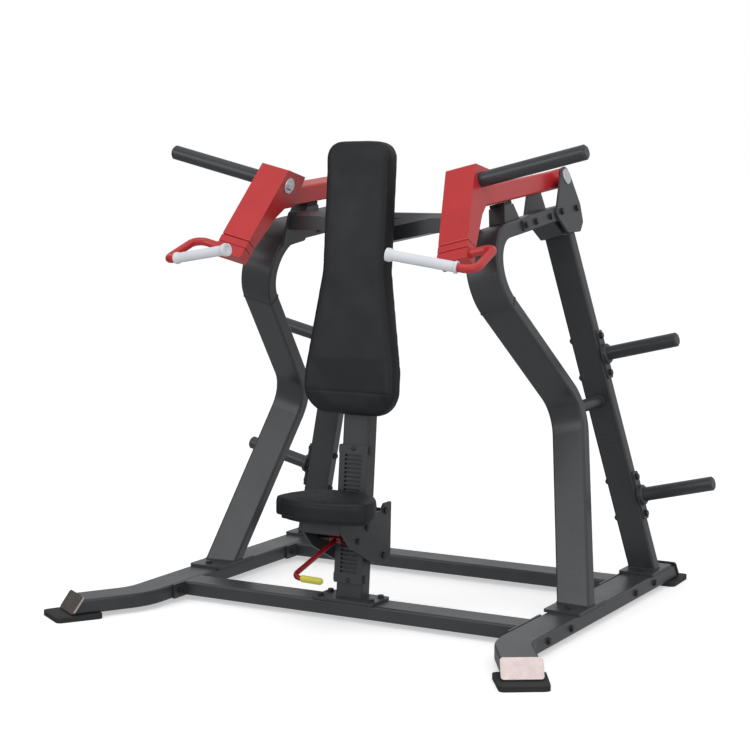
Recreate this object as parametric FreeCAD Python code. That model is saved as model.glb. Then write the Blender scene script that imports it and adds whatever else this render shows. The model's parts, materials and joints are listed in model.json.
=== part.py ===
import FreeCAD, Part
import math
import os

# Plate-loaded seated shoulder press, drawn in millimetres.
# X runs across the machine, the user faces -Y, Z is up and the floor is Z = 0.
# X = 0 is the plane of symmetry. Everything is drawn with Y = 0 midway between the two
# floor cross beams, then moved so that the origin lies under the middle of the footprint.

V = FreeCAD.Vector
FOOTPRINT_SHIFT = V(0, 74.85, 0)

# ---- Steel tube -------------------------------------------------------------
TUBE_WIDTH = 120
TUBE_DEPTH = 50
TUBE_WALL = 3
TUBE_CORNER = 8
BEND_RADIUS = 140

# ---- Fasteners --------------------------------------------------------------
BOLT_RADIUS = 6
HEAD_RADIUS = 11
HEAD_HEIGHT = 7
WASHER_RADIUS = 13
WASHER_HEIGHT = 2
HOLE_SLACK = 0.4

# ---- Floor frame ------------------------------------------------------------
FOOT_THICKNESS = 17
RAIL_X = 709
RAIL_Z = FOOT_THICKNESS + TUBE_DEPTH / 2
RAIL_TOP = FOOT_THICKNESS + TUBE_DEPTH
RAIL_BEND_Y = -600
RAIL_BEND_RADIUS = 190
TOE_ANGLE = 32
TOE_LENGTH = 265
RAIL_REAR_Y = 700
END_LEAN = 35.7
END_PLATE = (130, 6, 70)
END_PLATE_Z = 16
PAD_WIDTH = 165
PAD_FRONT = 60
PAD_REAR = 102
BEAM_Y = 370
BEAM_WIDTH = 110
FLANGE = 8
FLANGE_HALF_LENGTH = 120
FLANGE_BOLT_OFFSET = 90
BASE_PLATE = 10
BASE_TOP = RAIL_TOP + BASE_PLATE
BASE_PLATE_X = (RAIL_X - 70, RAIL_X + 60)
FRONT_BASE_Y = (-215, 15)
REAR_BASE_Y = (440, 630)
VENT_RADIUS = 8

# ---- Side frames, in their own leaning plane (across, Y, up the plane) -------
SIDE_LEAN = 13.7
SIDE_MID = 700
LEG_FOOT = (-112, -140)
LEG_KNEE = (186, 538)
LEG_SHOULDER = (-409, 1133)
TOP_TUBE_SLOPE = 0.1057
TOP_TUBE_V = 1176
SPLICE_Y = 48
HEAD_END_Y = 446
REAR_LEG_WIDTH = 100
REAR_LEG_FOOT = (535, -140)
REAR_LEG_TOP = (397.5, 1215)
LINK_RADIUS = 22
LINK_V = 532
PIVOT = (413, 1336)
PIVOT_PIN_RADIUS = 12.5
PIVOT_HUB_RADIUS = 34
RUNNING_GAP = 0.05
BRACKET_PLATE = 8
CHEEK_RADIUS = 36
CHEEK_SHOULDER = 10
INNER_CHEEK = [(255, 1192), (462, 1200), (470, 1250)]
OUTER_CHEEK = [(262, 1205), (330, 1137), (438, 1137), (478, 1170), (486, 1235)]
DISC_PROFILE = [(0, 28), (3, 28), (5, 26)]
GUSSET = [(270, 1185), (336, 1132), (396, 1132), (396, 1200)]
GUSSET_WIDTH = 90
HEAD_CAP = 4
SPLICE_PLATE_ENDS = (-20, 240)
SPLICE_PLATE_HALF = 19
SPLICE_PLATE_THICK = 6
SPLICE_BOLT_Y = (0, 84, 212)
PIVOT_BOLTS = [(310, 1213), (444, 1222)]

# ---- Arm rest stops on the top tubes ----------------------------------------
STOP_WIDTH = 60
STOP_FOOT_Y = (-83, 39)
STOP_TOP_Y = (-58, 13)
STOP_RUBBER = 12
STOP_GAP = 0.5
CONTACT_GAP = 0.3

# ---- Cross beam behind the post ---------------------------------------------
CROSS_FRONT = -212
CROSS_BACK = -112
CROSS_BEVEL = 45
CROSS_KINK = 215
CROSS_END = 337
CROSS_LOW = 1299
CROSS_HIGH = 1348
CROSS_REAR_HIGH = 1362
CROSS_MIDDLE_LOW = 1254
CROSS_MIDDLE_HIGH = 1302
CROSS_FLANGE = [(-232, 1120), (-92, 1140), (-92, 1246), (-232, 1246)]

# ---- Storage horns on the rear legs -----------------------------------------
STORAGE_HORN_LENGTH = 277
STORAGE_HORN_V = (172, 693)
STORAGE_FLANGE_HALF = (22, 88)
STORAGE_COLLAR = [(8, 36), (20, 36), (25, 31)]
STORAGE_BOLT_OFFSET = 68

# ---- Press arms -------------------------------------------------------------
ARM_LOW = 648
ARM_HIGH = 758
ARM_WALL = 5
ARM_BEAM_WIDTH = 60
ARM_BEAM_DEPTH = 66
ARM_BEAM_FRONT = (-215, 1284)
ARM_BEAM_END_Y = -190
ARM_HORN_AT = (-250, 1335)
ARM_HORN_LENGTH = 379
HORN_RADIUS = 25
HORN_BOLT_RADIUS = BOLT_RADIUS + 2
HORN_WASHER = [(0, 28), (4, 28), (6, 26)]
ARM_BOX = [(-268, 1390), (-431, 1147), (-388, 1118), (-293, 1222), (-245, 1254), (-190, 1258), (-150, 1364)]
ARM_TIP = (-431, 1147)
ARM_TIP_WIDTH = 52
ARM_TIP_SLOPE = 34
HANDLE_RADIUS = 14
HANDLE_BEND = 42
HANDLE_ROOT = (-436, 1100)
HANDLE_SIDE = 850
HANDLE_PAST_GRIP = 55
HANDLE_SHORT_OF_GRIP = 14
GRIP_RADIUS = 17
GRIP_OUTER = V(796, -619, 1056.6)
GRIP_INNER = V(583, -655, 1145.5)
GRIP_END = 12
GRIP_DISH = (4, 12)

# ---- Seat post, in its own reclined frame -----------------------------------
RECLINE = 5.3
POST_FOOT_Y = -395.2
POST_WIDTH = 100
POST_DEPTH = 60
POST_TOP = 1420
RACK_GAP = 0.3
RACK_FRONT = -8
RACK_LOW = 125
RACK_HIGH = 592
RACK_DEPTH = 30
RACK_PLATE = 4
LUG = (8, 14, 26)
LUG_INSET = (4, 30)
SCREW_INSET = 11
SCREW_PROFILE = [(0, 8), (2, 8), (4, 5.5)]
SCREW_SHANK = 4
POST_FOOT_HALF = 118
POST_FOOT_Y_RANGE = (-432, -312)
POST_BOLTS = [(98, -403), (98, -337)]
SLOT_PITCH = 14.5
SLOT_HEIGHT = 8
SLOT_HALF_WIDTH = 32
FIRST_SLOT = 160
SLOT_COUNT = 28

# ---- Pads and seat ----------------------------------------------------------
BACK_PAD_THICKNESS = 60
BACK_PAD_TOP = 1597
BACK_PAD_LOW = 690
BACK_PAD_HALF_TOP = 122
BACK_PAD_HALF_LOW = 172
BACK_PAD_FLARE = (150, 480)
BACK_PAD_CORNER = 55
BACK_PAD_LOW_CORNER = 85
BOARD_THICKNESS = 12
BOARD_MARGIN = 25
BOARD_SHARE = 0.9
SEAT_HALF = 172
SEAT_BACK = -380
SEAT_FRONT = -612
SEAT_BOW = 14
SEAT_CORNER = [(30, 22), (6, 34), (0, 62)]
SEAT_HIP = (0.72, 42)
SEAT_REAR_SHARE = 0.35
SEAT_BOARD_INSET = 14
SEAT_TOP = 440
SEAT_PAD_LOW = 378
SEAT_BOARD_LOW = 366
CARRIAGE_TOP_LOW = 360
CARRIAGE_PLATE_IN = 72
CARRIAGE_PLATE_OUT = 80
CARRIAGE_SIDE = [(-232, 388), (-240, 186), (-300, 180), (-350, 192), (-500, 268), (-568, 338),
                 (-568, SEAT_BOARD_LOW), (-300, SEAT_BOARD_LOW), (-280, 388)]
CARRIAGE_TOP_Y = (-566, -382)
CARRIAGE_APRON_LOW = 325
CARRIAGE_APRON = 6
ROLLER_RADIUS = 26
ROLLER_HALF = 34
AXLE_RADIUS = 8
LEVER_PIVOT = (-462, 290)
LEVER_AXLE_RADIUS = 6
LEVER_HUB_RADIUS = 13
LEVER_HUB_HALF = 22
LEVER_RADIUS = 8.5
LEVER_BEND = 32
LEVER_CORNER = V(-14, -722, 212)
LEVER_TIP = V(90, -722, 209)
SLEEVE_START = 36
SLEEVE_PROFILE = [(0, 10), (2, 11.5), (69, 11.5), (74, 10), (77, 7), (78.5, 3)]
PAWL = [(8, -2), (8, -14), (74, -36), (81.5, -28)]
PAWL_HALF_WIDTH = 20
ROLLER_PLACES = {"roller_rear_upper": (POST_DEPTH + ROLLER_RADIUS + 0.5, 372),
                 "roller_rear_lower": (POST_DEPTH + ROLLER_RADIUS + 0.5, 220),
                 "roller_front": (RACK_FRONT - ROLLER_RADIUS - 0.5, 325)}

parts = {}
bolt_holes = []


# ---- Shape helpers ----------------------------------------------------------
def box(x0, x1, y0, y1, z0, z1):
    return Part.makeBox(x1 - x0, y1 - y0, z1 - z0, V(x0, y0, z0))


def rod(start, end, radius):
    return Part.makeCylinder(radius, (end - start).Length, start, end - start)


def corner_arc(before, corner, after, radius):
    """Start, middle and end of the arc that rounds one corner."""
    back = (before - corner).normalize()
    ahead = (after - corner).normalize()
    half_angle = back.getAngle(ahead) / 2
    reach = radius / math.tan(half_angle)
    inward = (back + ahead).normalize()
    middle = corner + inward * (radius / math.sin(half_angle) - radius)
    return corner + back * reach, middle, corner + ahead * reach


def rounded_path(points, radius):
    """Edges of an open path whose inner corners are rounded."""
    edges = []
    here = points[0]
    for before, corner, after in zip(points, points[1:], points[2:]):
        start, middle, end = corner_arc(before, corner, after, radius)
        edges.append(Part.makeLine(here, start))
        edges.append(Part.Arc(start, middle, end).toShape())
        here = end
    edges.append(Part.makeLine(here, points[-1]))
    return edges


def rounded_face(points, radius):
    """Flat face with its corners rounded, by one radius or by a list with one for each corner."""
    count = len(points)
    radii = radius if isinstance(radius, list) else [radius] * count
    arcs = []
    for i in range(count):
        arcs.append(corner_arc(points[i - 1], points[i], points[(i + 1) % count], radii[i]))
    edges = []
    for i in range(count):
        start, middle, end = arcs[i]
        edges.append(Part.Arc(start, middle, end).toShape())
        edges.append(Part.makeLine(end, arcs[(i + 1) % count][0]))
    return Part.Face(Part.Wire(edges))


def plate(points, radius, push):
    return rounded_face(points, radius).extrude(push)


def side_outline(pairs, across):
    """Points of a side-frame outline, given as (Y, up) pairs."""
    return [V(across, y, up) for y, up in pairs]


def turned(profile, base, direction):
    """Body turned from (along, radius) pairs about an axis from base along direction."""
    points = [V(radius, 0, along) for along, radius in profile]
    points = [V(0, 0, profile[0][0])] + points + [V(0, 0, profile[-1][0])]
    face = Part.Face(Part.makePolygon(points + [points[0]]))
    solid = face.revolve(V(0, 0, 0), V(0, 0, 1), 360)
    solid.Placement = FreeCAD.Placement(base, FreeCAD.Rotation(V(0, 0, 1), direction))
    return solid


def swept_bar(points, bend, across, width, depth, corner):
    """Solid bar of rounded rectangular section along a bent path."""
    ahead = (points[1] - points[0]).normalize()
    side = across * (width / 2)
    face_up = ahead.cross(across).normalize() * (depth / 2)
    here = points[0]
    section = rounded_face([here + side + face_up, here - side + face_up,
                            here - side - face_up, here + side - face_up], corner)
    path = Part.Wire(rounded_path(points, bend))
    return path.makePipeShell([section.OuterWire], True, False)


def hollow_bar(points, bend, across, width, depth):
    outer = swept_bar(points, bend, across, width, depth, TUBE_CORNER)
    inner = swept_bar(points, bend, across, width - 2 * TUBE_WALL, depth - 2 * TUBE_WALL,
                      TUBE_CORNER - TUBE_WALL)
    return outer.cut(inner)


def round_bar(points, bend, radius):
    """Solid round bar along a bent path."""
    ahead = points[1] - points[0]
    ring = Part.Wire(Part.makeCircle(radius, points[0], ahead))
    return Part.Wire(rounded_path(points, bend)).makePipeShell([ring], True, False)


# ---- Placing ----------------------------------------------------------------
def lean(shape):
    """Tilt a shape drawn in the side-frame plane inward to where it stands."""
    return shape.copy().rotate(V(0, 0, 0), V(0, 1, 0), -SIDE_LEAN)


def recline(shape):
    """Tilt a shape drawn along the upright seat post back to where it stands."""
    turned_back = shape.copy().rotate(V(0, 0, 0), V(1, 0, 0), -RECLINE)
    turned_back.translate(V(0, POST_FOOT_Y, 0))
    return turned_back


def mirrored(shape):
    return shape.mirror(V(0, 0, 0), V(1, 0, 0))


def add(name, shape):
    parts[name] = shape.removeSplitter()


def add_pair(name, shape):
    """A right-hand part and its mirror image."""
    add(name + "_right", shape)
    add(name + "_left", mirrored(shape))


# ---- Fasteners --------------------------------------------------------------
def hexagon(centre, axis, radius, height):
    """Hexagonal prism with its base at centre."""
    points = []
    for i in range(6):
        angle = math.radians(60 * i)
        points.append(V(radius * math.cos(angle), radius * math.sin(angle), 0))
    prism = Part.Face(Part.makePolygon(points + [points[0]])).extrude(V(0, 0, height))
    prism.Placement = FreeCAD.Placement(centre, FreeCAD.Rotation(V(0, 0, 1), axis))
    return prism


def bolt(seat, outward, grip):
    """Bolt whose head sits at seat and whose nut sits grip below it."""
    outward = V(outward).normalize()
    below = seat - outward * grip
    tail = below - outward * (WASHER_HEIGHT + HEAD_HEIGHT + 3)
    pieces = [rod(seat, seat + outward * WASHER_HEIGHT, WASHER_RADIUS),
              hexagon(seat + outward * WASHER_HEIGHT, outward, HEAD_RADIUS, HEAD_HEIGHT),
              rod(tail, seat + outward * WASHER_HEIGHT, BOLT_RADIUS),
              rod(below - outward * WASHER_HEIGHT, below, WASHER_RADIUS),
              hexagon(below - outward * WASHER_HEIGHT, outward * -1, HEAD_RADIUS, HEAD_HEIGHT)]
    solid = pieces[0].multiFuse(pieces[1:])
    hole = rod(tail, seat, BOLT_RADIUS + HOLE_SLACK)
    return solid, hole


def bolt_group(name, bolts, place):
    """One node for all bolts of one kind on both sides; each leaves its hole to be drilled."""
    solids = []
    for seat, outward, grip in bolts:
        solid, hole = bolt(seat, outward, grip)
        solids += [place(solid), mirrored(place(solid))]
        bolt_holes.extend([place(hole), mirrored(place(hole))])
    parts[name] = Part.makeCompound(solids)


def stay(shape):
    return shape


def drill_bolt_holes():
    for name, shape in parts.items():
        if name.endswith("bolts"):
            continue
        for hole in bolt_holes:
            if shape.BoundBox.intersect(hole.BoundBox) and shape.common(hole).Volume > 1:
                shape = shape.cut(hole)
        parts[name] = shape


# ---- Floor frame ------------------------------------------------------------
def toe_point(along):
    angle = math.radians(TOE_ANGLE)
    return V(RAIL_X + along * math.sin(angle), RAIL_BEND_Y - along * math.cos(angle), 0)


def at_front_end(shape):
    """Put a shape drawn about a rail end, facing -Y, on the right front end."""
    placed = shape.copy().rotate(V(0, 0, 0), V(0, 0, 1), TOE_ANGLE)
    placed.translate(toe_point(TOE_LENGTH))
    return placed


def at_rear_end(shape):
    placed = shape.copy().rotate(V(0, 0, 0), V(0, 0, 1), 180)
    placed.translate(V(RAIL_X, RAIL_REAR_Y, 0))
    return placed


def leaned_end(shape):
    """Lean a shape back about the lower edge of a rail's end plate."""
    leaned = shape.copy().rotate(V(0, 0, 0), V(1, 0, 0), -END_LEAN)
    leaned.translate(V(0, 0, END_PLATE_Z))
    return leaned


def end_plate():
    """Plate that closes a rail end, leaning back."""
    width, thick, tall = END_PLATE
    low, high = 3, 3 + tall
    corners = [V(-width / 2, 0, low), V(width / 2, 0, low), V(width / 2, 0, high), V(-width / 2, 0, high)]
    return leaned_end(plate(corners, 10, V(0, -thick, 0)))


def make_rails():
    """Bent floor rails, each with its rear end plate welded on."""
    reach = TOE_LENGTH + 60
    toe = toe_point(reach)
    points = [V(RAIL_X, RAIL_REAR_Y + 60, RAIL_Z), V(RAIL_X, RAIL_BEND_Y, RAIL_Z),
              V(toe.x, toe.y, RAIL_Z)]
    rail = hollow_bar(points, RAIL_BEND_RADIUS, V(1, 0, 0), TUBE_WIDTH, TUBE_DEPTH)
    beyond = leaned_end(box(-200, 200, -300, 0, -200, 300))
    rail = rail.cut(at_front_end(beyond)).cut(at_rear_end(beyond))
    rear_vent = at_rear_end(rod(V(0, -60, 45), V(0, 20, 45), VENT_RADIUS))
    rear_plate = at_rear_end(end_plate()).cut(rear_vent)
    add_pair("floor_rail", rail.fuse(rear_plate))
    add_pair("front_end_plate", at_front_end(end_plate()))


def make_floor_pads():
    half = PAD_WIDTH / 2
    corners = [V(-half + 6, -PAD_FRONT, 0), V(half - 6, -PAD_FRONT, 0),
               V(half, PAD_REAR, 0), V(-half, PAD_REAR, 0)]
    pad = plate(corners, 18, V(0, 0, FOOT_THICKNESS))
    add_pair("front_floor_pad", at_front_end(pad))
    add_pair("rear_floor_pad", at_rear_end(pad))


def make_floor_beam(name, y):
    inner_face = RAIL_X - TUBE_WIDTH / 2
    reach = inner_face - FLANGE
    beam = hollow_bar([V(-reach, y, RAIL_Z), V(reach, y, RAIL_Z)], 0, V(0, 1, 0),
                      BEAM_WIDTH, TUBE_DEPTH)
    for side in (-1, 1):
        low, high = sorted((side * reach, side * inner_face))
        flange = box(low, high, y - FLANGE_HALF_LENGTH, y + FLANGE_HALF_LENGTH,
                     FOOT_THICKNESS, RAIL_TOP)
        drain = rod(V(low - 1, y, RAIL_Z), V(high + 1, y, RAIL_Z), 10)
        beam = beam.fuse(flange.cut(drain))
    add(name, beam)


def make_floor_frame():
    make_rails()
    make_floor_pads()
    make_floor_beam("front_cross_beam", -BEAM_Y)
    make_floor_beam("rear_cross_beam", BEAM_Y)
    rail_bolts = []
    outer_face = RAIL_X + TUBE_WIDTH / 2
    for y in (-BEAM_Y, BEAM_Y):
        for offset in (-FLANGE_BOLT_OFFSET, FLANGE_BOLT_OFFSET):
            rail_bolts.append((V(outer_face, y + offset, RAIL_Z), V(1, 0, 0), TUBE_WIDTH + FLANGE))
    bolt_group("rail_bolts", rail_bolts, stay)


# ---- Side frames ------------------------------------------------------------
def top_tube_v(y):
    """Height of the top tube's centre line at a given Y."""
    return TOP_TUBE_V + TOP_TUBE_SLOPE * y


def above_base(shape):
    """Keep what stands above the leg base plates."""
    return shape.cut(box(-2000, 2000, -2000, 2000, -500, BASE_TOP))


def front_leg_path():
    points = [LEG_FOOT, LEG_KNEE, LEG_SHOULDER, (SPLICE_Y, top_tube_v(SPLICE_Y))]
    return side_outline(points, SIDE_MID)


def head_path():
    start = SPLICE_Y + 2
    return side_outline([(start, top_tube_v(start)), (HEAD_END_Y, top_tube_v(HEAD_END_Y))], SIDE_MID)


def rear_leg_path():
    return side_outline([REAR_LEG_FOOT, REAR_LEG_TOP], SIDE_MID)


def base_plate(ends):
    low, high = BASE_PLATE_X
    front, back = ends
    corners = [V(low, front, RAIL_TOP), V(high, front, RAIL_TOP), V(high, back, RAIL_TOP),
               V(low, back, RAIL_TOP)]
    return plate(corners, 8, V(0, 0, BASE_PLATE))


def make_front_leg():
    across = V(1, 0, 0)
    leg = hollow_bar(front_leg_path(), BEND_RADIUS, across, TUBE_WIDTH, TUBE_DEPTH)
    standing = above_base(lean(leg))
    add_pair("front_leg", standing.fuse(base_plate(FRONT_BASE_Y)))


def make_rear_leg():
    """Rear leg with its head tube, gusset, inner pivot plate and link tube welded on."""
    across = V(1, 0, 0)
    head_solid = swept_bar(head_path(), 0, across, TUBE_WIDTH, TUBE_DEPTH, TUBE_CORNER)
    head = hollow_bar(head_path(), 0, across, TUBE_WIDTH, TUBE_DEPTH)
    leg = hollow_bar(rear_leg_path(), 0, across, REAR_LEG_WIDTH, TUBE_DEPTH).cut(head_solid)
    gusset = plate(side_outline(GUSSET, SIDE_MID - GUSSET_WIDTH / 2), 3, V(GUSSET_WIDTH, 0, 0))
    leg_solid = swept_bar(rear_leg_path(), 0, across, REAR_LEG_WIDTH, TUBE_DEPTH, TUBE_CORNER)
    gusset = gusset.cut(head_solid).cut(leg_solid)
    cap_path = side_outline([(y, top_tube_v(y)) for y in (HEAD_END_Y - HEAD_CAP, HEAD_END_Y)], SIDE_MID)
    cap = swept_bar(cap_path, 0, across, TUBE_WIDTH, TUBE_DEPTH, TUBE_CORNER)
    inner_cheek = pivot_cheek(INNER_CHEEK, SIDE_MID - TUBE_WIDTH / 2 - BRACKET_PLATE)
    welded = [leg, gusset, cap, inner_cheek, link_tube(leg_solid), splice_plate()]
    frame = lean(head.multiFuse(welded))
    add_pair("rear_leg", above_base(frame).fuse(base_plate(REAR_BASE_Y)))


def link_tube(rear_leg_solid):
    """Round tube from the knee of the front leg to the rear leg."""
    across = V(1, 0, 0)
    knee = swept_bar(front_leg_path(), BEND_RADIUS, across, TUBE_WIDTH, TUBE_DEPTH, TUBE_CORNER)
    link = rod(V(SIDE_MID, 160, LINK_V), V(SIDE_MID, 480, LINK_V), LINK_RADIUS)
    return link.cut(knee).cut(rear_leg_solid)


def pivot_cheek(foot, low):
    """Bracket plate that rises from its foot to the pivot, drilled for the pin."""
    y, up = PIVOT
    shoulders = [(y + CHEEK_RADIUS, up + CHEEK_SHOULDER), (y - CHEEK_RADIUS, up + CHEEK_SHOULDER)]
    cheek = plate(side_outline(foot + shoulders, low), 12, V(BRACKET_PLATE, 0, 0))
    cheek = cheek.fuse(rod(V(low, y, up), V(low + BRACKET_PLATE, y, up), CHEEK_RADIUS))
    return cheek.cut(rod(V(low - 1, y, up), V(low + BRACKET_PLATE + 1, y, up), PIVOT_PIN_RADIUS))


def splice_plate():
    """Plate on the outer face that carries the joint between the two side-frame halves."""
    low = SIDE_MID + TUBE_WIDTH / 2
    half = SPLICE_PLATE_HALF
    front, back = SPLICE_PLATE_ENDS
    corners = [(front, top_tube_v(front) - half), (back, top_tube_v(back) - half),
               (back, top_tube_v(back) + half), (front, top_tube_v(front) + half)]
    return plate(side_outline(corners, low), 6, V(SPLICE_PLATE_THICK, 0, 0))


def make_pivot_bracket():
    """Outer pivot plate and the pin that the arm turns on."""
    y, up = PIVOT
    outer_low = SIDE_MID + TUBE_WIDTH / 2
    inner_low = SIDE_MID - TUBE_WIDTH / 2 - BRACKET_PLATE
    add_pair("pivot_plate", lean(pivot_cheek(OUTER_CHEEK, outer_low)))
    disc_face = outer_low + BRACKET_PLATE
    pin = rod(V(inner_low, y, up), V(disc_face, y, up), PIVOT_PIN_RADIUS)
    outer_disc = turned(DISC_PROFILE, V(disc_face, y, up), V(1, 0, 0))
    inner_disc = turned(DISC_PROFILE, V(inner_low, y, up), V(-1, 0, 0))
    add_pair("pivot_pin", lean(pin.multiFuse([outer_disc, inner_disc])))


def arm_beam_v(y):
    """Height of the arm beam's centre line at a given Y."""
    slope = (PIVOT[1] - ARM_BEAM_FRONT[1]) / (PIVOT[0] - ARM_BEAM_FRONT[0])
    return PIVOT[1] + slope * (y - PIVOT[0])


def make_stop():
    """Rest bracket on the top tube with the rubber block the arm lies on."""
    low = SIDE_MID - STOP_WIDTH / 2
    beam_slope = math.atan2(PIVOT[1] - ARM_BEAM_FRONT[1], PIVOT[0] - ARM_BEAM_FRONT[0])
    under_beam = ARM_BEAM_DEPTH / 2 / math.cos(beam_slope) + STOP_GAP
    foot = [(y, top_tube_v(y) + TUBE_DEPTH / 2 + CONTACT_GAP) for y in STOP_FOOT_Y]
    top = [(y, arm_beam_v(y) - under_beam - STOP_RUBBER) for y in reversed(STOP_TOP_Y)]
    bracket = plate(side_outline(foot + top, low), 2, V(STOP_WIDTH, 0, 0))
    (back_y, back_v), (front_y, front_v) = top
    rubber_corners = [(front_y + 4, front_v + CONTACT_GAP), (back_y - 4, back_v),
                      (back_y - 4, back_v + STOP_RUBBER), (front_y + 4, front_v + STOP_RUBBER)]
    block = plate(side_outline(rubber_corners, low + 3), 2, V(STOP_WIDTH - 6, 0, 0))
    block = block.cut(bracket)
    add_pair("stop_bracket", lean(bracket))
    add_pair("stop_rubber", lean(block))


def cross_beam_outline(top, middle_top):
    """Front view of the cross beam, which drops between its kinks."""
    low = [(-CROSS_END, CROSS_LOW), (-CROSS_KINK, CROSS_LOW), (0, CROSS_MIDDLE_LOW),
           (CROSS_KINK, CROSS_LOW), (CROSS_END, CROSS_LOW)]
    high = [(CROSS_END, top), (CROSS_KINK, top), (0, middle_top), (-CROSS_KINK, top), (-CROSS_END, top)]
    return low + high


def make_top_beam():
    """Cross beam behind the seat post, deeper at its middle, with end flanges."""
    bevel_end = CROSS_FRONT + CROSS_BEVEL
    front_outline = cross_beam_outline(CROSS_HIGH, CROSS_MIDDLE_HIGH)
    back_outline = cross_beam_outline(CROSS_REAR_HIGH, CROSS_REAR_HIGH)
    slab = []
    for outline, y in ((front_outline, CROSS_FRONT), (back_outline, bevel_end)):
        points = [V(x, y, z) for x, z in outline]
        slab.append(Part.makePolygon(points + [points[0]]))
    nose = Part.makeLoft(slab, True, True)
    body = Part.Face(slab[1]).extrude(V(0, CROSS_BACK - bevel_end, 0))
    beam = nose.fuse(body)
    inner_face = SIDE_MID - TUBE_WIDTH / 2
    side_space = lean(box(inner_face - FLANGE, inner_face + 400, -600, 600, 600, 1600))
    beam = beam.cut(side_space).cut(mirrored(side_space))
    beam = beam.cut(box(-CROSS_END, CROSS_END, CROSS_FRONT + 25, CROSS_BACK - TUBE_WALL,
                        CROSS_LOW + 4, CROSS_HIGH - 4))
    flange = plate(side_outline(CROSS_FLANGE, inner_face - FLANGE), 10, V(FLANGE, 0, 0))
    vent = rod(V(inner_face - 2 * FLANGE, -150, 1205), V(inner_face + 1, -150, 1205), VENT_RADIUS)
    flange = lean(flange.cut(vent))
    add("top_cross_beam", beam.multiFuse([flange, mirrored(flange)]))


def leg_offset(v):
    """Y of the rear leg's centre line at a given height."""
    run = (REAR_LEG_TOP[0] - REAR_LEG_FOOT[0]) / (REAR_LEG_TOP[1] - REAR_LEG_FOOT[1])
    return REAR_LEG_FOOT[0] + run * (v - REAR_LEG_FOOT[1])


def make_storage_horns():
    face = SIDE_MID + REAR_LEG_WIDTH / 2
    outside = V(1, 0, 0)
    for name, v in zip(("lower_storage_horn", "upper_storage_horn"), STORAGE_HORN_V):
        root = V(face, leg_offset(v), v)
        half, reach = STORAGE_FLANGE_HALF
        low, high = leg_offset(v - reach), leg_offset(v + reach)
        corners = [(low - half, v - reach), (low + half, v - reach),
                   (high + half, v + reach), (high - half, v + reach)]
        flange = plate(side_outline(corners, face), 10, V(FLANGE, 0, 0))
        length = STORAGE_HORN_LENGTH + FLANGE
        horn = turned([(0, HORN_RADIUS), (length - 5, HORN_RADIUS), (length, HORN_RADIUS - 5)],
                      root, outside)
        collar = turned(STORAGE_COLLAR, root, outside)
        add_pair(name, lean(flange.multiFuse([horn, collar])))


def make_side_frame_bolts():
    outside = V(1, 0, 0)
    tube_face = SIDE_MID + TUBE_WIDTH / 2
    head_bolts = []
    for y in SPLICE_BOLT_Y:
        seat = V(tube_face + SPLICE_PLATE_THICK, y, top_tube_v(y))
        head_bolts.append((seat, outside, TUBE_WIDTH + SPLICE_PLATE_THICK))
    for y, v in PIVOT_BOLTS:
        head_bolts.append((V(tube_face + BRACKET_PLATE, y, v), outside, TUBE_WIDTH + 2 * BRACKET_PLATE))
    bolt_group("head_bolts", head_bolts, lean)
    horn_bolts = []
    for v in STORAGE_HORN_V:
        for offset in (-STORAGE_BOLT_OFFSET, STORAGE_BOLT_OFFSET):
            seat = V(SIDE_MID + REAR_LEG_WIDTH / 2 + FLANGE, leg_offset(v + offset), v + offset)
            horn_bolts.append((seat, outside, REAR_LEG_WIDTH + FLANGE))
    bolt_group("horn_bolts", horn_bolts, lean)
    base_bolts = []
    leg_bolts = [(RAIL_X, -180), (RAIL_X, -15), (RAIL_X, 462), (RAIL_X, 610)]
    for x, y in leg_bolts + POST_BOLTS:
        base_bolts.append((V(x, y, BASE_TOP), V(0, 0, 1), BASE_PLATE + TUBE_WALL))
    bolt_group("base_bolts", base_bolts, stay)


def make_side_frames():
    make_front_leg()
    make_rear_leg()
    make_pivot_bracket()
    make_stop()
    make_top_beam()
    make_storage_horns()
    make_side_frame_bolts()


# ---- Press arms -------------------------------------------------------------
def arm_box_face():
    return rounded_face(side_outline(ARM_BOX, ARM_LOW), 6)


def make_arm_box():
    """Fabricated box that carries the weight horn in front and the handle below."""
    y, v = ARM_HORN_AT
    width = ARM_HIGH - ARM_LOW
    shell = arm_box_face().extrude(V(width, 0, 0))
    hollow = arm_box_face().makeOffset2D(-ARM_WALL).extrude(V(width - 2 * ARM_WALL, 0, 0))
    hollow.translate(V(ARM_WALL, 0, 0))
    shell = shell.cut(hollow)
    shell = shell.cut(rod(V(ARM_LOW - 1, y, v), V(ARM_HIGH + 1, y, v), HORN_BOLT_RADIUS + HOLE_SLACK))
    add_pair("arm_box", lean(shell))


def make_arm_beam():
    """Hollow beam from the arm box back to its pivot hub."""
    y, v = PIVOT
    path = [V(SIDE_MID, y, v), V(SIDE_MID, ARM_BEAM_END_Y, arm_beam_v(ARM_BEAM_END_Y))]
    beam = hollow_bar(path, 0, V(1, 0, 0), ARM_BEAM_WIDTH, ARM_BEAM_DEPTH)
    hub_low = SIDE_MID - TUBE_WIDTH / 2 + 5
    hub_high = SIDE_MID + TUBE_WIDTH / 2 - 5
    hub = rod(V(hub_low, y, v), V(hub_high, y, v), PIVOT_HUB_RADIUS)
    bore = rod(V(hub_low - 1, y, v), V(hub_high + 1, y, v), PIVOT_PIN_RADIUS + RUNNING_GAP)
    box_solid = arm_box_face().extrude(V(ARM_HIGH - ARM_LOW, 0, 0))
    beam = beam.cut(hub).cut(box_solid).fuse(hub).cut(bore)
    add_pair("arm_beam", lean(beam))


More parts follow.
